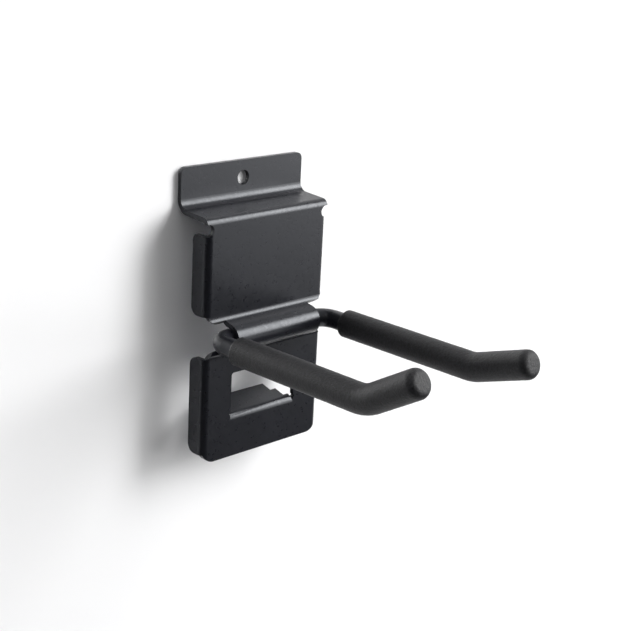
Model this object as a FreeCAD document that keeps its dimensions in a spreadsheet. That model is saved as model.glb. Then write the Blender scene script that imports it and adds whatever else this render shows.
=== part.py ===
import FreeCAD, Part
import math
import os
import Sketcher

# Garage utility hook: a bent steel plate that hangs in a slotted wall, a bent rod with two
# prongs that sits in the plate's saddle, and a closed soft sleeve on each prong.
# Millimetres. The origin is the centre of the screw hole on the back face of the top flange,
# +Z is up, the wall is the plane Y = 0 and the prongs reach out along -Y.

SIZES = (
    # The plate
    ("plate_width", 53.0, "width over the two side flanges"),
    ("sheet_thickness", 1.6, "painted steel sheet"),
    ("bend_radius", 0.8, "inside radius of the plain bends"),
    ("flange_above_hole", 5.9, "top edge of the flange over the screw hole"),
    ("flange_corner", 2.2, "corner radius of the flange"),
    ("screw_hole", 5.0, "diameter of the screw hole"),
    ("ledge_below_hole", 7.2, "ledge and flange meet this far under the hole"),
    ("ledge_angle", 4.0, "fall of the ledge, degrees"),
    ("ledge_bend", 3.0, "inside radius where flange and ledge meet"),
    ("front_reach", 15.1, "front face of the panels, from the wall"),
    ("plate_bottom", 91.2, "bottom edge under the hole"),
    ("panel_corner", 5.0, "corner radius of the panels"),
    # The side flanges, folded back from the panels
    ("side_depth", 7.2, "side flange, from the front face to its rear edge"),
    ("side_corner", 3.0, "rear corner radius of a side flange"),
    ("upper_side_top", 13.3, "upper side flange starts this far under the hole"),
    ("upper_side_end", 7.4, "upper side flange ends this far over the rod axis"),
    ("lower_side_top", 6.8, "lower side flange starts this far under the rod axis"),
    ("lower_side_end", 2.9, "lower side flange ends this far over the bottom edge"),
    ("relief_radius", 2.1, "round relief where ledge and side flange would meet"),
    ("relief_below_hole", 12.1, "centre of the relief under the hole"),
    ("relief_inset", 0.6, "centre of the relief inside the side face"),
    # The saddle that bulges over the rod
    ("saddle_below_hole", 48.1, "rod axis under the hole"),
    ("saddle_margin", 0.2, "straight rod left beside each end of the saddle"),
    ("saddle_slope", 10.0, "slope of the two ramps of the saddle, degrees"),
    ("saddle_blend", 2.0, "front radius where panel and saddle meet"),
    ("ear_curl", 45.0, "panel corners beside the saddle curl forward, degrees"),
    # The window and the tongue lanced from it
    ("window_width", 28.8, "window in the lower panel"),
    ("window_top", 61.6, "top of the window under the hole"),
    ("window_corner", 1.0, "corner radius at the top of the window"),
    ("tongue_below_hole", 76.4, "corner of tongue and panel under the hole"),
    ("tongue_angle", 15.0, "rise of the tongue, degrees"),
    ("tongue_reach", 10.6, "tongue, from the front face to its rear edge"),
    ("tongue_root_width", 24.0, "tongue in front of its shoulders"),
    ("tongue_tip_width", 19.2, "tongue behind its shoulders"),
    ("tongue_tip_length", 4.1, "length behind the shoulders"),
    ("tongue_relief", 0.5, "radius of the round relief at each end of the tongue's bend"),
    # The rod
    ("rod_diameter", 6.35, "quarter inch rod"),
    ("rod_fit", 0.05, "gap between rod and saddle, and rod and sleeve"),
    ("rod_bend", 6.0, "centre line radius at the corners"),
    ("rod_forward", 2.55, "rod axis in front of the panels' front face"),
    ("prong_spacing", 49.0, "between the two prong axes"),
    ("prong_length", 66.9, "from the rod axis at the plate to the bend of the tip"),
    ("tip_bend", 14.0, "centre line radius of the upturn"),
    ("tip_length", 20.5, "from the bend point to the rod's end"),
    ("tip_rise_left", 30.0, "upturn of the left prong, degrees"),
    ("tip_rise_right", 18.0, "upturn of the right prong, degrees"),
    # The sleeves
    ("sleeve_wall", 1.55, "wall over the rod and its fit"),
    ("sleeve_end", 3.0, "closed end beyond the rod"),
    ("sleeve_end_round", 2.4, "edge radius of the closed end"),
    ("sleeve_mouth_bevel", 0.4, "bevel round the open end"),
    ("sleeve_start_left", 5.6, "bare rod between corner bend and left sleeve"),
    ("sleeve_start_right", 5.2, "bare rod between corner bend and right sleeve"),
    # The two weld beads behind the rod
    ("weld_length", 14.0, "length of a weld bead"),
    ("weld_radius", 1.7, "radius of a weld bead"),
    ("weld_lift", 3.3, "weld axis over or under the rod axis"),
    ("weld_back", 2.2, "weld axis behind the rod axis"),
)

doc = FreeCAD.newDocument("garage_utility_hook")
sheet = doc.addObject("Spreadsheet::Sheet", "sizes")
for row, (alias, number, meaning) in enumerate(SIZES, start=1):
    sheet.set(f"A{row}", meaning)
    sheet.set(f"B{row}", str(number))
    sheet.setAlias(f"B{row}", alias)
doc.recompute()


ALIASES = {alias for alias, number, meaning in SIZES}


def size(alias):
    """Read one driving dimension from the sheet."""
    return float(sheet.get(alias))


def bound(expression):
    """Write a formula of bare aliases as a formula on the sheet."""
    words = []
    for word in expression.split():
        words.append(f"sizes.{word}" if word in ALIASES else word)
    return " ".join(words)


def number_of(holder, expression):
    """Evaluate a bound formula to a plain number."""
    result = holder.evalExpression(bound(expression))
    return float(getattr(result, "Value", result))


def new_sketch(body, name, role):
    """Start a sketch on one of the body's own origin planes."""
    sketch = body.newObject("Sketcher::SketchObject", name)
    origin_plane = next(f for f in body.Origin.OriginFeatures if f.Role == role)
    sketch.AttachmentSupport = (origin_plane, [""])
    sketch.MapMode = "FlatFace"
    return sketch


def datum(sketch, kind, where, expression):
    """Add a dimension to a sketch and bind it to the sheet."""
    value = number_of(sketch, expression)
    index = sketch.addConstraint(Sketcher.Constraint(kind, *where, value))
    sketch.setExpression(f"Constraints[{index}]", bound(expression))


def outline(sketch, steps):
    """Draw a closed loop. A step is the place where an edge starts, as two formulas, and for a
    round edge also its centre, as two formulas, and its radius."""
    places = [FreeCAD.Vector(number_of(sketch, s[0]), number_of(sketch, s[1]), 0) for s in steps]
    first = sketch.GeometryCount
    starts = []
    ends = []
    for index, step in enumerate(steps):
        here = places[index]
        after = places[(index + 1) % len(steps)]
        if len(step) == 2:
            sketch.addGeometry(Part.LineSegment(here, after))
            turn = 1
        else:
            centre = FreeCAD.Vector(number_of(sketch, step[2]), number_of(sketch, step[3]), 0)
            angle_here = math.atan2(here.y - centre.y, here.x - centre.x)
            angle_after = math.atan2(after.y - centre.y, after.x - centre.x)
            swing = (angle_after - angle_here) % math.tau
            turn = 1 if swing <= math.pi else -1
            if turn < 0:
                angle_here, angle_after = angle_after, angle_here
            circle = Part.Circle(centre, FreeCAD.Vector(0, 0, 1), number_of(sketch, step[4]))
            sketch.addGeometry(Part.ArcOfCircle(circle, angle_here, angle_after))
        starts.append(1 if turn > 0 else 2)
        ends.append(2 if turn > 0 else 1)
    for index, step in enumerate(steps):
        following = (index + 1) % len(steps)
        sketch.addConstraint(Sketcher.Constraint(
            "Coincident", first + index, ends[index], first + following, starts[following]))
        corner = (-1, 1, first + index, starts[index])
        datum(sketch, "DistanceX", corner, step[0])
        datum(sketch, "DistanceY", corner, step[1])
        if len(step) > 2:
            datum(sketch, "Radius", (first + index,), step[4])


def rectangle(sketch, left, low, right, high):
    """Draw a rectangle between two corners given as formulas."""
    outline(sketch, ((left, low), (right, low), (right, high), (left, high)))


def circle(sketch, across, up, radius):
    """Draw a circle given by three formulas."""
    centre = FreeCAD.Vector(number_of(sketch, across), number_of(sketch, up), 0)
    index = sketch.addGeometry(
        Part.Circle(centre, FreeCAD.Vector(0, 0, 1), number_of(sketch, radius)))
    datum(sketch, "DistanceX", (-1, 1, index, 3), across)
    datum(sketch, "DistanceY", (-1, 1, index, 3), up)
    datum(sketch, "Radius", (index,), radius)


def corner_trim(sketch, side, inset, edge, end, inward):
    """Draw what a rounded panel corner leaves out. The corner runs from inset behind the side
    face, at the end of the side flange, to the edge of the panel. side and inward are -1 or 1."""
    drop = f"( ( {end} ) - ( {edge} ) ) * {inward}"
    run = f"sqrt( {drop} * ( 2 * panel_corner - {drop} ) )"
    outside = f"{side} * ( {HALF} + sheet_thickness )"
    centre = f"{side} * ( {HALF} - {inset} - {run} )"
    outline(sketch, (
        (outside, end),
        (f"{side} * ( {HALF} - {inset} )", end,
         centre, f"{edge} + {inward} * panel_corner", "panel_corner"),
        (centre, edge),
        (outside, edge),
    ))


def pad(body, sketch, name, length):
    """Extrude a sketch to both sides of its plane, by a formula."""
    feature = body.newObject("PartDesign::Pad", name)
    feature.Profile = sketch
    feature.Midplane = True
    feature.setExpression("Length", bound(length))
    doc.recompute()
    return feature


def cut_through(body, sketch, name):
    """Cut a sketch through the body to both sides of its plane."""
    before = body.Shape.Volume
    feature = body.newObject("PartDesign::Pocket", name)
    feature.Profile = sketch
    feature.Midplane = True
    feature.Type = "ThroughAll"
    doc.recompute()
    if feature.Shape.Volume >= before:
        raise ValueError(f"{name} cuts nothing")
    return feature


def edges_through(shape, direction, places):
    """Name the straight edges along a direction that pass through any of the places."""
    names = []
    for index, edge in enumerate(shape.Edges, start=1):
        if edge.Curve.TypeId != "Part::GeomLine":
            continue
        along = edge.Curve.Direction
        if abs(abs(along.dot(direction)) - 1) > SAME_DIRECTION:
            continue
        for point in places:
            if point.distanceToLine(edge.Curve.Location, along) < SAME_LINE:
                names.append(f"Edge{index}")
                break
    return names


def fillet(body, name, direction, places, radius):
    """Round the edges along a direction through the places, by a formula."""
    base = body.Tip
    names = edges_through(body.Shape, direction, places)
    if len(names) < len(places):
        raise ValueError(f"{name} found {len(names)} of {len(places)} edges")
    feature = body.newObject("PartDesign::Fillet", name)
    feature.Base = (base, names)
    feature.setExpression("Radius", bound(radius))
    body.Tip = feature
    doc.recompute()
    return feature


def place(holder, across, out, up):
    """Turn three formulas into a point."""
    return FreeCAD.Vector(
        number_of(holder, across), number_of(holder, out), number_of(holder, up))


ALONG_X = FreeCAD.Vector(1, 0, 0)
ALONG_Y = FreeCAD.Vector(0, 1, 0)
ALONG_Z = FreeCAD.Vector(0, 0, 1)
SAME_DIRECTION = 1e-6
SAME_LINE = 1e-4
RIM_TOLERANCE = 1e-3

# Formulas that several sketches share
FRONT = "-1 * front_reach"
BACK = "-1 * front_reach + sheet_thickness"
HALF = "plate_width / 2"
OUTER_BEND = "( bend_radius + sheet_thickness )"
BEND_LINE = f"{FRONT} + {OUTER_BEND}"
LEDGE_TAN = "tan( 1deg * ledge_angle )"
LEDGE_COS = "cos( 1deg * ledge_angle )"
ROD_Y = "-1 * ( front_reach + rod_forward )"
ROD_Z = "-1 * saddle_below_hole"
UPPER_SIDE_END = f"{ROD_Z} + upper_side_end"
LOWER_SIDE_TOP = f"{ROD_Z} - lower_side_top"
LOWER_SIDE_END = "-1 * plate_bottom + lower_side_end"
SADDLE_INNER = "( rod_diameter / 2 + rod_fit )"
SADDLE_OUTER = "( rod_diameter / 2 + rod_fit + sheet_thickness )"
SLOPE_SIN = "sin( 1deg * saddle_slope )"
SLOPE_COS = "cos( 1deg * saddle_slope )"
SLOPE_TAN = "tan( 1deg * saddle_slope )"
CURL_TAN = "tan( 1deg * ( 45 - saddle_slope / 2 ) )"
RAMP_OUTER = f"( {SADDLE_OUTER} / {SLOPE_COS} + {SLOPE_TAN} * rod_forward )"
RAMP_INNER = f"( {SADDLE_INNER} / {SLOPE_COS} + {SLOPE_TAN} * ( rod_forward + sheet_thickness ) )"
CURL_START = f"( {RAMP_OUTER} + saddle_blend * {CURL_TAN} )"
TONGUE_TAN = "tan( 1deg * tongue_angle )"
TONGUE_SIN = "sin( 1deg * tongue_angle )"
TONGUE_COS = "cos( 1deg * tongue_angle )"
WINDOW_LOW = (
    f"-1 * tongue_below_hole - {OUTER_BEND} * tan( 1deg * ( 45 - tongue_angle / 2 ) )")
EAR_END = f"( {CURL_START} - ( saddle_blend + sheet_thickness ) * sin( 1deg * ear_curl ) )"
EAR_SIDE = f"( {OUTER_BEND} / 2 )"
BEND_MIDDLE = f"( {OUTER_BEND} * ( 1 - cos( 45deg ) ) )"
SADDLE_NOSE = f"{ROD_Y} - {SADDLE_OUTER} - sheet_thickness"
SADDLE_HALF = "( prong_spacing / 2 - rod_bend - saddle_margin )"


def side_profile(body):
    """The whole bent sheet seen from its side, with sharp corners at the plain bends."""
    profile = new_sketch(body, "side_profile", "YZ_Plane")
    ledge_front = (
        f"-1 * ledge_below_hole - ( front_reach - sheet_thickness ) * {LEDGE_TAN}")
    ledge_under_front = (
        f"-1 * ledge_below_hole - ( front_reach - 2 * sheet_thickness ) * {LEDGE_TAN}"
        f" - sheet_thickness / {LEDGE_COS}")
    ledge_under_back = (
        f"-1 * ledge_below_hole + sheet_thickness * {LEDGE_TAN}"
        f" - sheet_thickness / {LEDGE_COS}")
    outer_y = f"{ROD_Y} - {SADDLE_OUTER} * {SLOPE_SIN}"
    inner_y = f"{ROD_Y} - {SADDLE_INNER} * {SLOPE_SIN}"
    corners = {
        "flange_foot": ("-1 * sheet_thickness", "-1 * ledge_below_hole"),
        "ledge_front": (FRONT, ledge_front),
        "saddle_over": (FRONT, f"{ROD_Z} + {RAMP_OUTER}"),
        "saddle_under": (FRONT, f"{ROD_Z} - {RAMP_OUTER}"),
        "back_under": (BACK, f"{ROD_Z} - {RAMP_INNER}"),
        "back_over": (BACK, f"{ROD_Z} + {RAMP_INNER}"),
        "ledge_under_front": (BACK, ledge_under_front),
        "ledge_under_back": ("0", ledge_under_back),
    }
    outline(profile, (
        ("-1 * sheet_thickness", "flange_above_hole"),
        corners["flange_foot"],
        corners["ledge_front"],
        corners["saddle_over"],
        (outer_y, f"{ROD_Z} + {SADDLE_OUTER} * {SLOPE_COS}", ROD_Y, ROD_Z, SADDLE_OUTER),
        (outer_y, f"{ROD_Z} - {SADDLE_OUTER} * {SLOPE_COS}"),
        corners["saddle_under"],
        (FRONT, "-1 * plate_bottom"),
        (BACK, "-1 * plate_bottom"),
        corners["back_under"],
        (inner_y, f"{ROD_Z} - {SADDLE_INNER} * {SLOPE_COS}", ROD_Y, ROD_Z, SADDLE_INNER),
        (inner_y, f"{ROD_Z} + {SADDLE_INNER} * {SLOPE_COS}"),
        corners["back_over"],
        corners["ledge_under_front"],
        corners["ledge_under_back"],
        ("0", "flange_above_hole"),
    ))
    pad(body, profile, "bent_sheet", "plate_width")
    for name, where, radius in (
        ("ledge_front_inside", ("ledge_under_front",), "bend_radius"),
        ("ledge_front_outside", ("ledge_front",), OUTER_BEND),
        ("ledge_back_inside", ("flange_foot",), "ledge_bend"),
        ("ledge_back_outside", ("ledge_under_back",), "ledge_bend + sheet_thickness"),
        ("saddle_front_blend", ("saddle_over", "saddle_under"), "saddle_blend"),
        ("saddle_back_blend", ("back_over", "back_under"), "saddle_blend + sheet_thickness"),
    ):
        fillet(body, name, ALONG_X, [place(body, "0", *corners[w]) for w in where], radius)


def side_flanges(body):
    """Fold a flange back along both sides of the upper and the lower panel. Between the two the
    flat sheet is a little wider, for the curled corners beside the saddle."""
    strips = new_sketch(body, "strip_outline", "XZ_Plane")
    low = "-1 * plate_bottom - sheet_thickness"
    high = "-1 * relief_below_hole"
    for side in ("1", "-1"):
        beyond = f"{side} * ( {HALF} + sheet_thickness )"
        bent = f"{side} * ( {HALF} - {OUTER_BEND} )"
        flat = f"{side} * ( {HALF} - {EAR_SIDE} )"
        outline(strips, (
            (beyond, low),
            (bent, low),
            (bent, LOWER_SIDE_TOP),
            (flat, LOWER_SIDE_TOP),
            (flat, UPPER_SIDE_END),
            (bent, UPPER_SIDE_END),
            (bent, high),
            (beyond, high),
        ))
    cut_through(body, strips, "strips_for_flanges")

    spans = (
        ("upper", UPPER_SIDE_END, high),
        ("lower", "-1 * plate_bottom", LOWER_SIDE_TOP),
    )
    rear = f"{FRONT} + side_depth"
    for name, start, end in spans:
        corner = new_sketch(body, f"{name}_flange_section", "XY_Plane")
        corner.setExpression("AttachmentOffset.Base.z", bound(start))
        for side in ("1", "-1"):
            inside = f"{side} * ( {HALF} - {OUTER_BEND} )"
            wall = f"{side} * ( {HALF} - sheet_thickness )"
            outside = f"{side} * {HALF}"
            outline(corner, (
                (inside, FRONT, inside, BEND_LINE, OUTER_BEND),
                (outside, BEND_LINE),
                (outside, rear),
                (wall, rear),
                (wall, BEND_LINE, inside, BEND_LINE, "bend_radius"),
                (inside, BACK),
            ))
        feature = body.newObject("PartDesign::Pad", f"{name}_flanges")
        feature.Profile = corner
        feature.setExpression("Length", bound(f"{end} - ( {start} )"))
        doc.recompute()

    ends = new_sketch(body, "flange_ends", "YZ_Plane")
    past_rear = f"{rear} + sheet_thickness"
    rectangle(ends, BEND_LINE, "-1 * upper_side_top", past_rear, high)
    rectangle(ends, BEND_LINE, low, past_rear, LOWER_SIDE_END)
    cut_through(body, ends, "flange_end_cuts")
    rear_corners = [
        place(body, "0", rear, level) for level in (
            "-1 * upper_side_top", UPPER_SIDE_END, LOWER_SIDE_TOP, LOWER_SIDE_END)]
    fillet(body, "flange_rear_corners", ALONG_X, rear_corners, "side_corner")


def saddle_sides(body):
    """Trim the bulge beside the saddle, so that the rod can turn forward there."""
    trim = new_sketch(body, "beside_saddle", "YZ_Plane")
    trim.setExpression("AttachmentOffset.Base.z", bound(SADDLE_HALF))
    pivot_y = f"{FRONT} - saddle_blend"
    far_y = f"{BACK} + sheet_thickness"
    drop = "( saddle_blend + 2 * sheet_thickness ) * tan( 1deg * ear_curl )"
    outline(trim, (
        (SADDLE_NOSE, f"{ROD_Z} + {CURL_START}"),
        (pivot_y, f"{ROD_Z} + {CURL_START}"),
        (far_y, f"{ROD_Z} + {CURL_START} - {drop}"),
        (far_y, f"{ROD_Z} - {CURL_START} + {drop}"),
        (pivot_y, f"{ROD_Z} - {CURL_START}"),
        (SADDLE_NOSE, f"{ROD_Z} - {CURL_START}"),
    ))
    before = body.Shape.Volume
    cut = body.newObject("PartDesign::Pocket", "saddle_side")
    cut.Profile = trim
    cut.Type = "ThroughAll"
    cut.Reversed = True
    doc.recompute()
    if cut.Shape.Volume >= before:
        raise ValueError("saddle_side cuts nothing")
    mirror = body.newObject("PartDesign::Mirrored", "saddle_other_side")
    mirror.Originals = [cut]
    mirror_plane = next(f for f in body.Origin.OriginFeatures if f.Role == "YZ_Plane")
    mirror.MirrorPlane = (mirror_plane, [""])
    body.Tip = mirror
    doc.recompute()


def front_outline(body):
    """Round the corners, drill the screw hole and punch reliefs and window from the front."""
    trims = new_sketch(body, "panel_corner_trims", "XZ_Plane")
    for side in ("1", "-1"):
        for inset, edge, end, inward in (
            (EAR_SIDE, f"{ROD_Z} + {EAR_END}", UPPER_SIDE_END, "1"),
            (EAR_SIDE, f"{ROD_Z} - {EAR_END}", LOWER_SIDE_TOP, "-1"),
            (BEND_MIDDLE, "-1 * plate_bottom", LOWER_SIDE_END, "1"),
        ):
            corner_trim(trims, side, inset, edge, end, inward)
    cut_through(body, trims, "panel_corners")
    fillet(body, "flange_corners", ALONG_Y,
           [place(body, f"{s} * {HALF}", "0", "flange_above_hole") for s in ("1", "-1")],
           "flange_corner")

    holes = new_sketch(body, "reliefs_and_screw_hole", "XZ_Plane")
    for side in ("1", "-1"):
        circle(holes, f"{side} * ( {HALF} - relief_inset )", "-1 * relief_below_hole",
               "relief_radius")
    circle(holes, "0", "0", "screw_hole / 2")
    cut_through(body, holes, "reliefs_and_hole")

    window = new_sketch(body, "window_outline", "XZ_Plane")
    rectangle(window, "-1 * window_width / 2", WINDOW_LOW,
              "window_width / 2", "-1 * window_top")
    cut_through(body, window, "window")
    fillet(body, "window_corners", ALONG_Y,
           [place(body, f"{s} * window_width / 2", "0", "-1 * window_top") for s in ("1", "-1")],
           "window_corner")


def tongue(body):
    """Bend the tongue back and up from the bottom edge of the window. Its bend is as wide as the
    window and ends at a round relief on each side."""
    root_low = f"{WINDOW_LOW} - sheet_thickness"
    top_y = f"{BEND_LINE} - {OUTER_BEND} * {TONGUE_SIN}"
    under_y = f"{BEND_LINE} - bend_radius * {TONGUE_SIN}"
    for name, reach, width in (
        ("root", OUTER_BEND, "window_width"),
        ("middle", "tongue_reach - tongue_tip_length", "tongue_root_width"),
        ("tip", "tongue_reach", "tongue_tip_width"),
    ):
        section = new_sketch(body, f"tongue_{name}_section", "YZ_Plane")
        end_y = f"{FRONT} + {reach}"
        end_z = f"-1 * tongue_below_hole + ( {reach} ) * {TONGUE_TAN}"
        outline(section, (
            (FRONT, root_low),
            (FRONT, WINDOW_LOW, BEND_LINE, WINDOW_LOW, OUTER_BEND),
            (top_y, f"{WINDOW_LOW} + {OUTER_BEND} * {TONGUE_COS}"),
            (end_y, end_z),
            (f"{end_y} + sheet_thickness * {TONGUE_SIN}",
             f"{end_z} - sheet_thickness * {TONGUE_COS}"),
            (under_y, f"{WINDOW_LOW} + bend_radius * {TONGUE_COS}",
             BEND_LINE, WINDOW_LOW, "bend_radius"),
            (BACK, WINDOW_LOW),
            (BACK, root_low),
        ))
        pad(body, section, f"tongue_{name}", width)

    reliefs = new_sketch(body, "tongue_relief_outline", "XZ_Plane")
    for side in ("1", "-1"):
        circle(reliefs, f"{side} * window_width / 2",
               f"{WINDOW_LOW} + {OUTER_BEND} * {TONGUE_COS}", "tongue_relief")
    cut_through(body, reliefs, "tongue_reliefs")


def make_bracket():
    """The bent plate, as one PartDesign body."""
    body = doc.addObject("PartDesign::Body", "bracket")
    body.Label = "bracket"
    side_profile(body)
    side_flanges(body)
    saddle_sides(body)
    front_outline(body)
    tongue(body)
    return body


def rounded_path(name, points, radii):
    """Store a wire of straight runs joined by tangent arcs, one radius for each inner point."""
    edges = []
    start = points[0]
    for before, corner, after, radius in zip(points, points[1:], points[2:], radii):
        back = (before - corner).normalize()
        ahead = (after - corner).normalize()
        half_turn = (math.pi - back.getAngle(ahead)) / 2
        reach = radius * math.tan(half_turn)
        centre = corner + (back + ahead).normalize() * (radius / math.cos(half_turn))
        enter = corner + back * reach
        leave = corner + ahead * reach
        middle = centre + (corner - centre).normalize() * radius
        edges.append(Part.LineSegment(start, enter).toShape())
        edges.append(Part.Arc(enter, middle, leave).toShape())
        start = leave
    edges.append(Part.LineSegment(start, points[-1]).toShape())
    path = doc.addObject("Part::Feature", name)
    path.Shape = Part.Wire(edges)
    return path


def round_bar(name, path, radius):
    """Sweep a circle along a path."""
    first = path.Shape.OrderedEdges[0]
    start = first.valueAt(first.FirstParameter)
    heading = first.tangentAt(first.FirstParameter)
    ring = doc.addObject("Part::Circle", f"{name}_section")
    ring.setExpression("Radius", bound(radius))
    ring.Placement = FreeCAD.Placement(start, FreeCAD.Rotation(ALONG_Z, heading))
    bar = doc.addObject("Part::Sweep", name)
    bar.Sections = [ring]
    bar.Spine = (path, [f"Edge{n}" for n in range(1, len(path.Shape.Edges) + 1)])
    bar.Solid = True
    bar.Label = name
    doc.recompute()
    return bar


def prong_points(side):
    """The bend point of a prong's tip and the rod's end there, for side left or right."""
    across = size("prong_spacing") / 2 * (-1 if side == "left" else 1)
    out = -size("front_reach") - size("rod_forward")
    level = -size("saddle_below_hole")
    rise = math.radians(size(f"tip_rise_{side}"))
    corner = FreeCAD.Vector(across, out, level)
    bend = corner + FreeCAD.Vector(0, -size("prong_length"), 0)
    heading = FreeCAD.Vector(0, -math.cos(rise), math.sin(rise))
    return corner, bend, heading


def make_rod():
    """The bent rod with its crossbar in the saddle."""
    left_corner, left_bend, left_heading = prong_points("left")
    right_corner, right_bend, right_heading = prong_points("right")
    reach = size("tip_length")
    points = (
        left_bend + left_heading * reach, left_bend, left_corner,
        right_corner, right_bend, right_bend + right_heading * reach)
    radii = (size("tip_bend"), size("rod_bend"), size("rod_bend"), size("tip_bend"))
    path = rounded_path("rod_path", points, radii)
    return round_bar("hook_rod", path, "rod_diameter / 2")


def softened_rim(kind, name, bar, centre, amount):
    """Round or bevel the rim of a bar that lies about a centre."""
    rims = []
    for index, edge in enumerate(bar.Shape.Edges, start=1):
        if edge.isClosed() and edge.CenterOfMass.distanceToPoint(centre) < RIM_TOLERANCE:
            rims.append((index, amount, amount))
    if len(rims) != 1:
        raise ValueError(f"{name} finds {len(rims)} rims")
    softened = doc.addObject(kind, name)
    softened.Base = bar
    softened.Edges = rims
    doc.recompute()
    return softened


def make_sleeve(side):
    """A closed soft sleeve over one prong."""
    corner, bend, heading = prong_points(side)
    start = corner - FreeCAD.Vector(0, size("rod_bend") + size(f"sleeve_start_{side}"), 0)
    rod_end = bend + heading * (size("tip_length") + size("rod_fit"))
    end = bend + heading * (size("tip_length") + size("sleeve_end"))
    outside = round_bar(
        f"sleeve_{side}_outside",
        rounded_path(f"sleeve_{side}_path", (start, bend, end), (size("tip_bend"),)),
        "rod_diameter / 2 + rod_fit + sleeve_wall")
    inside = round_bar(
        f"sleeve_{side}_inside",
        rounded_path(f"sleeve_{side}_bore_path", (start, bend, rod_end), (size("tip_bend"),)),
        "rod_diameter / 2 + rod_fit")
    shell = outside
    for kind, centre, amount in (
        ("Part::Fillet", end, "sleeve_end_round"),
        ("Part::Chamfer", start, "sleeve_mouth_bevel"),
    ):
        shell = softened_rim(kind, f"{amount}_{side}", shell, centre, size(amount))
    sleeve = doc.addObject("Part::Cut", f"sleeve_{side}")
    sleeve.Base = shell
    sleeve.Tool = inside
    sleeve.Label = f"sleeve_{side}"
    doc.recompute()
    return sleeve


def make_welds(bracket, rod):
    """Two weld beads behind the rod, in the corners between rod and saddle."""
    beads = []
    for name, lift in (("upper", "weld_lift"), ("lower", "-1 * weld_lift")):
        bar = doc.addObject("Part::Cylinder", f"weld_{name}_bar")
        bar.Placement.Rotation = FreeCAD.Rotation(ALONG_Y, 90)
        bar.setExpression("Radius", bound("weld_radius"))
        bar.setExpression("Height", bound("weld_length"))
        bar.setExpression("Placement.Base.x", bound("-1 * weld_length / 2"))
        bar.setExpression("Placement.Base.y", bound(f"{ROD_Y} + weld_back"))
        bar.setExpression("Placement.Base.z", bound(f"{ROD_Z} + {lift}"))
        seated = doc.addObject("Part::Cut", f"weld_{name}_on_plate")
        seated.Base = bar
        seated.Tool = bracket
        bead = doc.addObject("Part::Cut", f"weld_{name}")
        bead.Base = seated
        bead.Tool = rod
        bead.Label = f"weld_{name}"
        beads.append(bead)
    doc.recompute()
    return beads


bracket = make_bracket()
rod = make_rod()
sleeves = [make_sleeve(side) for side in ("left", "right")]
pieces = [bracket, rod] + sleeves + make_welds(bracket, rod)

doc.recompute()
for item in doc.Objects:
    if "Invalid" in item.State or "Error" in item.State:
        raise ValueError(f"{item.Name} failed: {item.State}")
os.makedirs("parts", exist_ok=True)
for piece in pieces:
    if piece.Shape.isNull() or not piece.Shape.isValid():
        raise ValueError(f"{piece.Label} has no valid shape")
    piece.Shape.exportStep(f"parts/{piece.Label}.step")
    solids = len(piece.Shape.Solids)
    print(f"{piece.Label}: {solids} solid, {piece.Shape.Volume:.1f} cubic millimetres")
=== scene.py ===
"""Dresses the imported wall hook: its bent plate, rod, sleeves and weld beads, on a white wall."""

import logging
import math
from dataclasses import dataclass, field
from enum import Enum

import bpy
from mathutils import Matrix, Vector


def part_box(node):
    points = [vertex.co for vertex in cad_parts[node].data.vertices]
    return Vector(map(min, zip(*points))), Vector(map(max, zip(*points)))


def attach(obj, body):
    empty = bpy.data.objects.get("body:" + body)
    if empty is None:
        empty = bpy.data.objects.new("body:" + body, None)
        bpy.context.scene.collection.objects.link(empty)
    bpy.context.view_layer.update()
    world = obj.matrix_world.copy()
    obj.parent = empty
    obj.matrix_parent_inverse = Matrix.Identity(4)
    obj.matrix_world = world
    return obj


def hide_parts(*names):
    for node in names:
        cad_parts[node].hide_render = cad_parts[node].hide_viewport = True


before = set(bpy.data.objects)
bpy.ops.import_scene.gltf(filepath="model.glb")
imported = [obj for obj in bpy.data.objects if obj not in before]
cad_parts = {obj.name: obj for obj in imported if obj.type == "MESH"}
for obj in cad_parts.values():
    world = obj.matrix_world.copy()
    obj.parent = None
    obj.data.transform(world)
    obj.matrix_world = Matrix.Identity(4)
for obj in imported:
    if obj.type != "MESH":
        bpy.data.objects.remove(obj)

MILLIMETRE = 0.001
LOG = logging.getLogger("wall_hook")

Colour = tuple[float, float, float]
Span = tuple[float, float]
Size = tuple[float, float]


class Slot(Enum):
    """The record's material slots."""

    POWDER_COAT = "powder_coat"
    SOFT_SLEEVE = "soft_sleeve"


class Side(Enum):
    """The side a prong is on, seen from the front."""

    LEFT = "left"
    RIGHT = "right"


TIP_RISE = {Side.LEFT: math.radians(30.0), Side.RIGHT: math.radians(18.0)}
WELD_NODES = ("weld_upper", "weld_lower")


def opaque(colour: Colour) -> tuple[float, float, float, float]:
    """Add full opacity to a colour."""
    return (*colour, 1.0)


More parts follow.
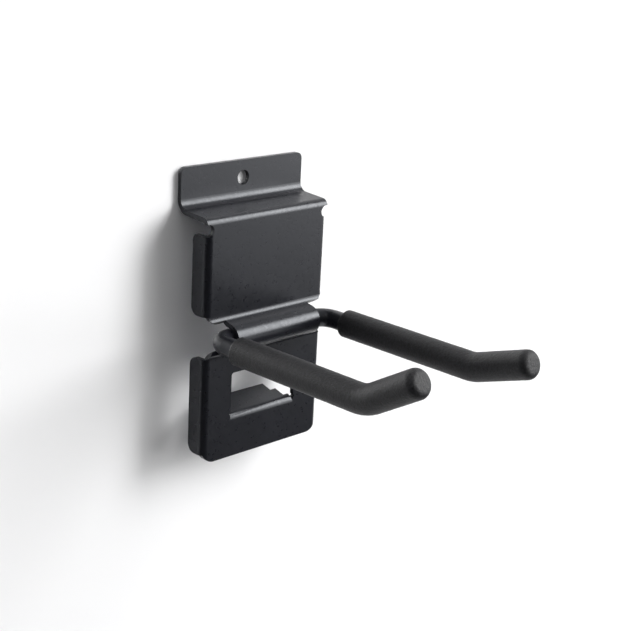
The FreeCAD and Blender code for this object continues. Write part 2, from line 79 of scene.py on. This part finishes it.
class Shader:
    """A material round a principled shader, with patterns on object coordinates."""

    NOISE_SPAN: Span = (0.3, 0.7)

    def __init__(self, name: str) -> None:
        """Start a material.

        Args:
            name: The material's name in plain words.
        """
        self.material = bpy.data.materials.new(name)
        self.material.use_nodes = True
        self.tree = self.material.node_tree
        self.surface = self.tree.nodes["Principled BSDF"]
        self.coordinates = self.tree.nodes.new("ShaderNodeTexCoord")

    def noise(self, scale: float, detail: float, roughness: float = 0.5) -> bpy.types.Node:
        """Add a noise on object coordinates.

        Args:
            scale: Features per metre.
            detail: Octaves.
            roughness: Weight of the finer octaves.

        Returns:
            The noise node.
        """
        node = self.tree.nodes.new("ShaderNodeTexNoise")
        node.inputs["Scale"].default_value = scale
        node.inputs["Detail"].default_value = detail
        node.inputs["Roughness"].default_value = roughness
        self.tree.links.new(self.coordinates.outputs["Object"], node.inputs["Vector"])
        return node

    def cells(self, scale: float) -> bpy.types.Node:
        """Add a pattern of small cells on object coordinates.

        Args:
            scale: Cells per metre.

        Returns:
            The cell node.
        """
        node = self.tree.nodes.new("ShaderNodeTexVoronoi")
        node.inputs["Scale"].default_value = scale
        self.tree.links.new(self.coordinates.outputs["Object"], node.inputs["Vector"])
        return node

    def ramp(self, source: bpy.types.NodeSocket, low: Colour, high: Colour,
             span: Span) -> bpy.types.NodeSocket:
        """Turn a value into a colour.

        Args:
            source: The value.
            low: Colour at and under the span's start.
            high: Colour at and over its end.
            span: Values where the change starts and ends.

        Returns:
            The colour socket.
        """
        node = self.tree.nodes.new("ShaderNodeValToRGB")
        for element, position, colour in zip(node.color_ramp.elements, span, (low, high)):
            element.position = position
            element.color = opaque(colour)
        self.tree.links.new(source, node.inputs["Fac"])
        return node.outputs["Color"]

    def span(self, source: bpy.types.NodeSocket, low: float, high: float) -> bpy.types.NodeSocket:
        """Map a noise value onto a range.

        Args:
            source: The noise value.
            low: Lowest result.
            high: Highest result.

        Returns:
            The mapped value socket.
        """
        node = self.tree.nodes.new("ShaderNodeMapRange")
        node.inputs["From Min"].default_value = self.NOISE_SPAN[0]
        node.inputs["From Max"].default_value = self.NOISE_SPAN[1]
        node.inputs["To Min"].default_value = low
        node.inputs["To Max"].default_value = high
        self.tree.links.new(source, node.inputs["Value"])
        return node.outputs["Result"]

    def bump(self, height: bpy.types.NodeSocket, depth: float, strength: float) -> None:
        """Lay a relief over what relief there is.

        Args:
            height: The height value.
            depth: Metres from lowest to highest.
            strength: Share of the relief that shows.
        """
        node = self.tree.nodes.new("ShaderNodeBump")
        node.inputs["Distance"].default_value = depth
        node.inputs["Strength"].default_value = strength
        self.tree.links.new(height, node.inputs["Height"])
        normal = self.surface.inputs["Normal"]
        if normal.is_linked:
            self.tree.links.new(normal.links[0].from_socket, node.inputs["Normal"])
        self.tree.links.new(node.outputs["Normal"], normal)


@dataclass(frozen=True)
class PowderCoat:
    """Semi-gloss black powder coat with a fine orange peel."""

    dark: Colour = (0.0055, 0.0058, 0.0085)
    light: Colour = (0.008, 0.0083, 0.0118)
    tint: Colour = (0.92, 0.95, 1.0)
    smoothest: float = 0.27
    roughest: float = 0.35
    shine: float = 0.4
    mottle_scale: float = 70.0
    mottle_octaves: float = 3.0
    mottle_span: Span = (0.35, 0.65)
    peel_scale: float = 900.0
    peel_octaves: float = 2.0
    peel_depth: float = 0.022 * MILLIMETRE
    peel_strength: float = 0.6
    grit_scale: float = 4000.0
    grit_octaves: float = 1.0
    grit_depth: float = 0.006 * MILLIMETRE
    grit_strength: float = 0.5

    def material(self) -> bpy.types.Material:
        """Build the coat's material."""
        shader = Shader("black powder coat")
        mottle = shader.noise(self.mottle_scale, self.mottle_octaves)
        peel = shader.noise(self.peel_scale, self.peel_octaves)
        grit = shader.noise(self.grit_scale, self.grit_octaves)
        colour = shader.ramp(mottle.outputs["Fac"], self.dark, self.light, self.mottle_span)
        rough = shader.span(peel.outputs["Fac"], self.smoothest, self.roughest)
        shader.tree.links.new(colour, shader.surface.inputs["Base Color"])
        shader.tree.links.new(rough, shader.surface.inputs["Roughness"])
        shader.surface.inputs["Specular IOR Level"].default_value = self.shine
        shader.surface.inputs["Specular Tint"].default_value = opaque(self.tint)
        shader.bump(peel.outputs["Fac"], self.peel_depth, self.peel_strength)
        shader.bump(grit.outputs["Fac"], self.grit_depth, self.grit_strength)
        return shader.material


@dataclass(frozen=True)
class SoftSleeve:
    """Matt black sleeve with a fine grain of closed pores."""

    dark: Colour = (0.003, 0.003, 0.0037)
    light: Colour = (0.0165, 0.0165, 0.0195)
    smoothest: float = 0.5
    roughest: float = 0.62
    shine: float = 0.3
    grain_scale: float = 1500.0
    grain_octaves: float = 3.0
    grain_roughness: float = 0.6
    grain_span: Span = (0.35, 0.7)
    grain_depth: float = 0.2 * MILLIMETRE
    grain_strength: float = 0.6
    pore_scale: float = 2600.0
    pore_depth: float = 0.12 * MILLIMETRE
    pore_strength: float = 0.5

    def material(self) -> bpy.types.Material:
        """Build the sleeve's material."""
        shader = Shader("matt black sleeve")
        grain = shader.noise(self.grain_scale, self.grain_octaves, self.grain_roughness)
        pores = shader.cells(self.pore_scale)
        colour = shader.ramp(grain.outputs["Fac"], self.dark, self.light, self.grain_span)
        rough = shader.span(grain.outputs["Fac"], self.smoothest, self.roughest)
        shader.tree.links.new(colour, shader.surface.inputs["Base Color"])
        shader.tree.links.new(rough, shader.surface.inputs["Roughness"])
        shader.surface.inputs["Specular IOR Level"].default_value = self.shine
        shader.bump(grain.outputs["Fac"], self.grain_depth, self.grain_strength)
        shader.bump(pores.outputs["Distance"], self.pore_depth, self.pore_strength)
        return shader.material


def select_only(piece: bpy.types.Object) -> None:
    """Select one piece and nothing else."""
    bpy.ops.object.select_all(action="DESELECT")
    piece.select_set(True)
    bpy.context.view_layer.objects.active = piece


def apply_modifier(piece: bpy.types.Object, modifier: bpy.types.Modifier) -> None:
    """Make a modifier's result the piece's own mesh."""
    select_only(piece)
    bpy.ops.object.modifier_apply(modifier=modifier.name)


def stand_for(piece: bpy.types.Object, node: str) -> None:
    """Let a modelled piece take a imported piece's place.

    Args:
        piece: The modelled piece.
        node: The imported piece.
    """
    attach(piece, "root")
    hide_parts(node)
    LOG.info("%s stands for %s", piece.name, node)


@dataclass
class CoatedSteel:
    """The pieces of painted steel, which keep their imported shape; the bracket's edges soften."""

    nodes: tuple[str, ...] = ("bracket", "hook_rod")
    edge_round: float = 0.22 * MILLIMETRE
    edge_segments: int = 3
    edge_angle: float = math.radians(32.0)
    merge_distance: float = 0.002 * MILLIMETRE

    def soften_edges(self, node: bpy.types.Object) -> None:
        """Round a piece's cut edges as paint does, without touching its mesh.

        Args:
            node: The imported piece.
        """
        join = node.modifiers.new("joined facets", "WELD")
        join.merge_threshold = self.merge_distance
        edges = node.modifiers.new("painted edges", "BEVEL")
        edges.width = self.edge_round
        edges.segments = self.edge_segments
        edges.limit_method = "ANGLE"
        edges.angle_limit = self.edge_angle
        edges.use_clamp_overlap = True
        shading = node.modifiers.new("even shading", "WEIGHTED_NORMAL")
        shading.keep_sharp = True

    def dress(self, coat: bpy.types.Material) -> None:
        """Give plate and rod their coat.

        Args:
            coat: The powder coat.
        """
        for name in self.nodes:
            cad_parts[name].material_slots[0].material = coat
            LOG.info("%s wears %s", name, coat.name)
        self.soften_edges(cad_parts["bracket"])


@dataclass
class WeldBead:
    """A weld bead with the ripples of its run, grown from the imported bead's own shape."""

    node: str
    voxel: float = 0.14 * MILLIMETRE
    merge_distance: float = 0.002 * MILLIMETRE
    ripple_pitch: float = 1.15 * MILLIMETRE
    groove_width: float = 0.45 * MILLIMETRE
    groove_depth: float = 0.11 * MILLIMETRE
    smoothing: float = 0.5
    smoothing_rounds: int = 3

    def in_groove(self, across: float) -> bool:
        """Say whether a place along the bead lies in a groove between two ripples."""
        return across % self.ripple_pitch < self.groove_width

    def build(self, coat: bpy.types.Material) -> None:
        """Model the bead.

        Args:
            coat: The powder coat over it.
        """
        bead = bpy.data.objects.new(f"rippled_{self.node}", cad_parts[self.node].data.copy())
        bpy.context.scene.collection.objects.link(bead)
        select_only(bead)
        bpy.ops.object.mode_set(mode="EDIT")
        bpy.ops.mesh.select_all(action="SELECT")
        bpy.ops.mesh.remove_doubles(threshold=self.merge_distance)
        bpy.ops.object.mode_set(mode="OBJECT")
        even = bead.modifiers.new("even skin", "REMESH")
        even.mode = "VOXEL"
        even.voxel_size = self.voxel
        apply_modifier(bead, even)
        self.ripple(bead)
        bpy.ops.object.shade_smooth()
        bead.data.materials.clear()
        bead.data.materials.append(coat)
        stand_for(bead, self.node)

    def ripple(self, bead: bpy.types.Object) -> None:
        """Press the grooves between the ripples into the bead.

        Args:
            bead: The bead with an even skin.
        """
        bpy.ops.object.mode_set(mode="EDIT")
        bpy.ops.mesh.select_mode(type="VERT")
        bpy.ops.mesh.select_all(action="DESELECT")
        bpy.ops.object.mode_set(mode="OBJECT")
        for vertex in bead.data.vertices:
            vertex.select = self.in_groove(vertex.co.x)
        bpy.ops.object.mode_set(mode="EDIT")
        bpy.ops.transform.shrink_fatten(value=-self.groove_depth)
        bpy.ops.mesh.select_all(action="SELECT")
        bpy.ops.mesh.vertices_smooth(factor=self.smoothing, repeat=self.smoothing_rounds)
        bpy.ops.object.mode_set(mode="OBJECT")


class DrawnTube:
    """A tube in edit mode that is drawn out ring by ring from its last ring."""

    def __init__(self, centre: Vector, radius: float, points: int) -> None:
        """Lay the first ring, square to the prongs.

        Args:
            centre: The ring's centre.
            radius: Its radius.
            points: How many points it has.
        """
        bpy.ops.mesh.primitive_circle_add(vertices=points, radius=radius, location=centre,
                                          rotation=(math.pi / 2, 0.0, 0.0))
        self.centre = centre.copy()
        self.heading = Vector((0.0, -1.0, 0.0))
        self.radius = radius

    def step(self, length: float, radius: float) -> None:
        """Draw out one ring.

        Args:
            length: How far along the heading.
            radius: The new ring's radius.
        """
        bpy.ops.mesh.extrude_region_move(TRANSFORM_OT_translate={"value": self.heading * length})
        self.centre += self.heading * length
        if radius != self.radius:
            ratio = radius / self.radius
            bpy.ops.transform.resize(value=(ratio, ratio, ratio), center_override=self.centre)
            self.radius = radius

    def run(self, length: float, facet: float) -> None:
        """Draw out a straight stretch.

        Args:
            length: Its length.
            facet: Length of one ring at most.
        """
        steps = math.ceil(length / facet)
        for _ in range(steps):
            self.step(length / steps, self.radius)

    def turn_up(self, angle: float, bend: float, facet: float) -> None:
        """Draw out a bend that turns the heading upwards.

        Args:
            angle: Turn in radians.
            bend: Radius of the centre line.
            facet: Length of one ring at most.
        """
        pivot = self.centre + Vector((0.0, 0.0, bend))
        bpy.ops.mesh.spin(steps=math.ceil(bend * angle / facet), angle=angle, center=pivot,
                          axis=(1.0, 0.0, 0.0))
        turn = Matrix.Rotation(-angle, 3, "X")
        self.centre = pivot + turn @ (self.centre - pivot)
        self.heading = turn @ self.heading

    def dome(self, edge: float, facet: float) -> None:
        """Close the tube with a flat end and a rounded edge.

        Args:
            edge: Radius of the rounded edge.
            facet: Length of one ring at most.
        """
        outside = self.radius
        steps = math.ceil(edge * math.pi / 2 / facet)
        angles = [math.pi / 2 * step / steps for step in range(steps + 1)]
        for last, angle in zip(angles, angles[1:]):
            self.step(edge * (math.sin(angle) - math.sin(last)), outside - edge * (1 - math.cos(angle)))
        rings = math.ceil(self.radius / facet)
        flat = self.radius
        for ring in range(1, rings):
            self.step(0.0, flat * (1 - ring / rings))
        bpy.ops.mesh.merge(type="CENTER")


@dataclass
class Sleeve:
    """A closed soft sleeve: a tube over its prong with a soft mouth and a closed, rounded end."""

    side: Side
    bend_place: float = -84.55 * MILLIMETRE
    bend_radius: float = 14.0 * MILLIMETRE
    end_reach: float = 23.5 * MILLIMETRE
    bore_reach: float = 20.55 * MILLIMETRE
    bore: float = 3.225 * MILLIMETRE
    mouth_bevel: float = 0.4 * MILLIMETRE
    end_round: float = 2.4 * MILLIMETRE
    points: int = 84
    facet: float = 0.36 * MILLIMETRE
    bore_facet: float = 3.0 * MILLIMETRE
    grain_size: float = 0.9 * MILLIMETRE
    grain_height: float = 0.12 * MILLIMETRE
    grain_octaves: int = 2
    grain_middle: float = 0.5
    grain_group: str = "grained"

    @property
    def node(self) -> str:
        """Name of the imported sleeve."""
        return f"sleeve_{self.side.value}"

    def draw(self, tube: DrawnTube, reach: float, facet: float) -> None:
        """Draw a wall along the prong.

        Args:
            tube: The tube, with its first ring laid.
            reach: Length beyond the bend point.
            facet: Length of one ring at most.
        """
        rise = TIP_RISE[self.side]
        tangent = self.bend_radius * math.tan(rise / 2)
        tube.run(tube.centre.y - self.bend_place - tangent, facet)
        tube.turn_up(rise, self.bend_radius, facet)
        tube.run(reach - tangent, facet)

    def skin(self, sleeve: bpy.types.Object, mouth: Vector, outside: float) -> None:
        """Draw the outer wall from the mouth's bevel to the closed end.

        Args:
            sleeve: The empty sleeve.
            mouth: Centre of the mouth.
            outside: Outer radius under the grain.
        """
        bpy.ops.object.mode_set(mode="EDIT")
        wall = DrawnTube(mouth, outside - self.mouth_bevel, self.points)
        wall.step(self.mouth_bevel, outside)
        self.draw(wall, self.end_reach - self.end_round, self.facet)
        wall.dome(self.end_round, self.facet)
        bpy.ops.object.mode_set(mode="OBJECT")
        grained = sleeve.vertex_groups.new(name=self.grain_group)
        grained.add(range(len(sleeve.data.vertices)), 1.0, "REPLACE")

    def hollow(self, mouth: Vector) -> None:
        """Draw the bore and join it to the outer wall round the mouth.

        Args:
            mouth: Centre of the mouth.
        """
        bpy.ops.object.mode_set(mode="EDIT")
        bpy.ops.mesh.select_all(action="DESELECT")
        self.draw(DrawnTube(mouth, self.bore, self.points), self.bore_reach, self.bore_facet)
        bpy.ops.mesh.edge_face_add()
        bpy.ops.mesh.select_all(action="DESELECT")
        bpy.ops.mesh.select_mode(type="EDGE")
        bpy.ops.mesh.select_non_manifold()
        bpy.ops.mesh.bridge_edge_loops()
        bpy.ops.mesh.select_all(action="SELECT")
        bpy.ops.mesh.normals_make_consistent(inside=False)
        bpy.ops.object.mode_set(mode="OBJECT")

    def build(self, finish: bpy.types.Material) -> None:
        """Model the sleeve.

        Args:
            finish: The sleeve's material.
        """
        low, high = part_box(self.node)
        outside = (high.x - low.x - self.grain_height) / 2
        mouth = Vector(((low.x + high.x) / 2, high.y, low.z + (high.x - low.x) / 2))
        name = f"soft_{self.node}"
        sleeve = bpy.data.objects.new(name, bpy.data.meshes.new(name))
        bpy.context.scene.collection.objects.link(sleeve)
        select_only(sleeve)
        self.skin(sleeve, mouth, outside)
        self.hollow(mouth)
        self.grain(sleeve)
        bpy.ops.object.shade_smooth()
        sleeve.data.materials.append(finish)
        stand_for(sleeve, self.node)

    def grain(self, sleeve: bpy.types.Object) -> None:
        """Raise the fine lumps of the skin.

        Args:
            sleeve: The smooth sleeve.
        """
        pattern = bpy.data.textures.new(f"grain of {self.node}", "CLOUDS")
        pattern.noise_scale = self.grain_size
        pattern.noise_depth = self.grain_octaves
        lumps = sleeve.modifiers.new("grain", "DISPLACE")
        lumps.texture = pattern
        lumps.texture_coords = "LOCAL"
        lumps.strength = self.grain_height
        lumps.mid_level = self.grain_middle
        lumps.vertex_group = self.grain_group
        apply_modifier(sleeve, lumps)


class RoomGlow:
    """A glowing material, where light is a formula of the direction it comes from."""

    def __init__(self, name: str) -> None:
        """Start from the direction of a place on the screen.

        Args:
            name: The material's name in plain words.
        """
        self.material = bpy.data.materials.new(name)
        self.material.use_nodes = True
        self.tree = self.material.node_tree
        self.tree.nodes.remove(self.tree.nodes["Principled BSDF"])
        place = self.tree.nodes.new("ShaderNodeTexCoord").outputs["Object"]
        direction = self.tree.nodes.new("ShaderNodeVectorMath")
        direction.operation = "NORMALIZE"
        self.tree.links.new(place, direction.inputs[0])
        self.direction = direction.outputs["Vector"]
        split = self.tree.nodes.new("ShaderNodeSeparateXYZ")
        self.tree.links.new(self.direction, split.inputs["Vector"])
        self.height = split.outputs["Z"]

    def calculation(self, operation: str, *values: bpy.types.NodeSocket | float) -> bpy.types.NodeSocket:
        """Add a math node.

        Args:
            operation: What it does.
            values: Sockets or plain numbers.

        Returns:
            The result.
        """
        node = self.tree.nodes.new("ShaderNodeMath")
        node.operation = operation
        for socket, value in zip(node.inputs, values):
            if isinstance(value, (int, float)):
                socket.default_value = value
            else:
                self.tree.links.new(value, socket)
        return node.outputs["Value"]

    def product(self, value: bpy.types.NodeSocket,
                factor: bpy.types.NodeSocket | float) -> bpy.types.NodeSocket:
        """Multiply a value by another or by a number."""
        return self.calculation("MULTIPLY", value, factor)

    def total(self, first: bpy.types.NodeSocket, second: bpy.types.NodeSocket,
              number: float) -> bpy.types.NodeSocket:
        """Add two values and a number."""
        return self.calculation("ADD", self.calculation("ADD", first, second), number)

    def towards(self, side: Vector) -> bpy.types.NodeSocket:
        """Give the cosine of the angle to a side of the room.

        Args:
            side: The direction.

        Returns:
            The cosine.
        """
        node = self.tree.nodes.new("ShaderNodeVectorMath")
        node.operation = "DOT_PRODUCT"
        node.inputs[1].default_value = side.normalized()
        self.tree.links.new(self.direction, node.inputs[0])
        return node.outputs["Value"]

    def rise(self, value: bpy.types.NodeSocket, span: Span) -> bpy.types.NodeSocket:
        """Rise smoothly from nothing to one.

        Args:
            value: The value to follow.
            span: Where the rise starts and ends.

        Returns:
            The smooth value.
        """
        node = self.tree.nodes.new("ShaderNodeMapRange")
        node.interpolation_type = "SMOOTHSTEP"
        node.inputs["From Min"].default_value = span[0]
        node.inputs["From Max"].default_value = span[1]
        self.tree.links.new(value, node.inputs["Value"])
        return node.outputs["Result"]

    def finish(self, light: bpy.types.NodeSocket) -> bpy.types.Material:
        """Let the screen glow.

        Args:
            light: The strength of the glow.

        Returns:
            The material.
        """
        nodes, links = self.tree.nodes, self.tree.links
        glow = nodes.new("ShaderNodeEmission")
        links.new(light, glow.inputs["Strength"])
        links.new(glow.outputs["Emission"], nodes["Material Output"].inputs["Surface"])
        return self.material


@dataclass
class Studio:
    """The white wall, the floor, the lamps and the camera at the photograph's angle."""

    aim: Vector = field(default_factory=lambda: Vector((0.0, -0.03, -0.045)))
    wall_gap: float = 0.3 * MILLIMETRE
    wall_half: float = 3.0
    floor_level: float = -1.2
    floor_half: float = 0.9
    wall_colour: Colour = (0.9, 0.9, 0.905)
    window_side: Vector = field(default_factory=lambda: Vector((0.70, -0.545, 0.46)))
    window_distance: float = 1.6
    window_size: Size = (0.56, 1.13)
    window_power: float = 23.5
    rear_place: Vector = field(default_factory=lambda: Vector((0.0, 1.3, 0.25)))
    rear_size: Size = (1.0, 1.0)
    rear_power: float = 26.0
    room_radius: float = 2.8
    room_segments: int = 64
    room_rings: int = 32
    dim_strength: float = 0.08
    ceiling_strength: float = 0.55
    ceiling_span: Span = (0.1, 0.7)
    glow_side: Vector = field(default_factory=lambda: Vector((0.78, -0.61, 0.1)))
    glow_span: Span = (0.82, 0.97)
    glow_fade: Span = (-0.32, -0.1)
    glow_strength: float = 4.2
    camera_place: Vector = field(default_factory=lambda: Vector((-0.3129, -0.3446, 0.0966)))
    camera_right: Vector = field(default_factory=lambda: Vector((0.7098, -0.7027, 0.0497)))
    camera_up: Vector = field(default_factory=lambda: Vector((0.1739, 0.2431, 0.9543)))
    camera_back: Vector = field(default_factory=lambda: Vector((-0.6826, -0.6687, 0.2947)))
    focal_pixels: float = 1430.0
    frame_pixels: float = 631.0
    sensor: float = 36.0
    camera_reach: Span = (0.01, 100.0)

    def camera(self) -> None:
        """Stand the camera where the photograph was taken from."""
        data = bpy.data.cameras.new("camera")
        data.sensor_width = self.sensor
        data.lens = self.sensor * self.focal_pixels / self.frame_pixels
        data.clip_start, data.clip_end = self.camera_reach
        camera = bpy.data.objects.new("camera", data)
        bpy.context.scene.collection.objects.link(camera)
        turn = Matrix((self.camera_right, self.camera_up, self.camera_back)).transposed()
        camera.matrix_world = Matrix.Translation(self.camera_place) @ turn.to_4x4()
        bpy.context.scene.camera = camera

    def stage_material(self, name: str, one_sided: bool) -> bpy.types.Material:
        """Build the matt white of wall or floor.

        Args:
            name: The material's name.
            one_sided: True for a wall that only shows from its front.

        Returns:
            The material.
        """
        shader = Shader(name)
        shader.surface.inputs["Base Color"].default_value = opaque(self.wall_colour)
        shader.surface.inputs["Roughness"].default_value = 1.0
        shader.surface.inputs["Specular IOR Level"].default_value = 0.0
        if one_sided:
            nodes, links = shader.tree.nodes, shader.tree.links
            side = nodes.new("ShaderNodeNewGeometry")
            clear = nodes.new("ShaderNodeBsdfTransparent")
            choose = nodes.new("ShaderNodeMixShader")
            links.new(side.outputs["Backfacing"], choose.inputs["Fac"])
            links.new(shader.surface.outputs["BSDF"], choose.inputs[1])
            links.new(clear.outputs["BSDF"], choose.inputs[2])
            links.new(choose.outputs["Shader"], nodes["Material Output"].inputs["Surface"])
        return shader.material

    def stage(self) -> None:
        """Put up wall and floor."""
        bpy.ops.object.select_all(action="DESELECT")
        bpy.ops.mesh.primitive_plane_add(
            size=2 * self.wall_half, location=(0.0, self.wall_gap, 0.0),
            rotation=(math.pi / 2, 0.0, 0.0))
        wall = bpy.context.object
        wall.name = "wall"
        wall.data.materials.append(self.stage_material("white wall", one_sided=True))
        wall.visible_shadow = False
        bpy.ops.object.select_all(action="DESELECT")
        bpy.ops.mesh.primitive_plane_add(
            size=2 * self.floor_half, location=(0.0, 0.0, self.floor_level))
        floor = bpy.context.object
        floor.name = "floor"
        floor.data.materials.append(self.stage_material("pale floor", one_sided=False))

    def lamp(self, name: str, place: Vector, size: Size, power: float) -> None:
        """Hang one softbox that points at the hook.

        Args:
            name: What the lamp does.
            place: Where it hangs.
            size: Its width and height, metres.
            power: Watts.
        """
        data = bpy.data.lights.new(name, "AREA")
        data.shape = "RECTANGLE"
        data.size, data.size_y = size
        data.energy = power
        lamp = bpy.data.objects.new(name, data)
        bpy.context.scene.collection.objects.link(lamp)
        lamp.location = place
        lamp.rotation_mode = "QUATERNION"
        lamp.rotation_quaternion = (self.aim - place).to_track_quat("-Z", "Y")

    def lights(self) -> None:
        """Light the hook from a tall window on the right, and softly from behind the wall."""
        window_place = self.aim + self.window_side.normalized() * self.window_distance
        self.lamp("window", window_place, self.window_size, self.window_power)
        self.lamp("rear fill", self.rear_place, self.rear_size, self.rear_power)

    def surroundings(self) -> None:
        """Show white to the camera, and to gloss and glass, where a ray leaves the room."""
        world = bpy.data.worlds.new("white surroundings")
        world.use_nodes = True
        nodes, links = world.node_tree.nodes, world.node_tree.links
        path = nodes.new("ShaderNodeLightPath")
        seen = path.outputs["Is Camera Ray"]
        for ray in ("Is Glossy Ray", "Is Transmission Ray"):
            either = nodes.new("ShaderNodeMath")
            either.operation = "MAXIMUM"
            links.new(seen, either.inputs[0])
            links.new(path.outputs[ray], either.inputs[1])
            seen = either.outputs["Value"]
        nodes["Background"].inputs["Color"].default_value = opaque((1.0, 1.0, 1.0))
        links.new(seen, nodes["Background"].inputs["Strength"])
        bpy.context.scene.world = world

    def room(self) -> None:
        """Close the room in front of the wall with a half round screen that glows softly.

        It is dim in front and below, and brighter overhead and beside the window.
        """
        bpy.ops.object.select_all(action="DESELECT")
        bpy.ops.mesh.primitive_uv_sphere_add(
            segments=self.room_segments, ring_count=self.room_rings, radius=self.room_radius)
        screen = bpy.context.object
        screen.name = "room_screen"
        bpy.ops.object.mode_set(mode="EDIT")
        bpy.ops.mesh.bisect(plane_co=(0.0, self.wall_gap, 0.0), plane_no=(0.0, 1.0, 0.0),
                            clear_outer=True)
        bpy.ops.object.mode_set(mode="OBJECT")
        glow = RoomGlow("dim room")
        overhead = glow.rise(glow.height, self.ceiling_span)
        beside = glow.product(glow.rise(glow.towards(self.glow_side), self.glow_span),
                              glow.rise(glow.height, self.glow_fade))
        light = glow.total(glow.product(overhead, self.ceiling_strength),
                           glow.product(beside, self.glow_strength), self.dim_strength)
        screen.data.materials.append(glow.finish(light))
        screen.visible_camera = False

    def build(self) -> None:
        """Set up everything that isn't the hook."""
        self.camera()
        self.stage()
        self.lights()
        self.room()
        self.surroundings()
        bpy.context.scene.view_settings.view_transform = "Standard"


def main() -> None:
    """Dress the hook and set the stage."""
    logging.basicConfig(level=logging.INFO)
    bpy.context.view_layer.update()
    coat = PowderCoat().material()
    CoatedSteel().dress(coat)
    for node in WELD_NODES:
        WeldBead(node).build(coat)
    finish = SoftSleeve().material()
    for side in Side:
        Sleeve(side).build(finish)
    Studio().build()


if __name__ == "__main__":
    main()
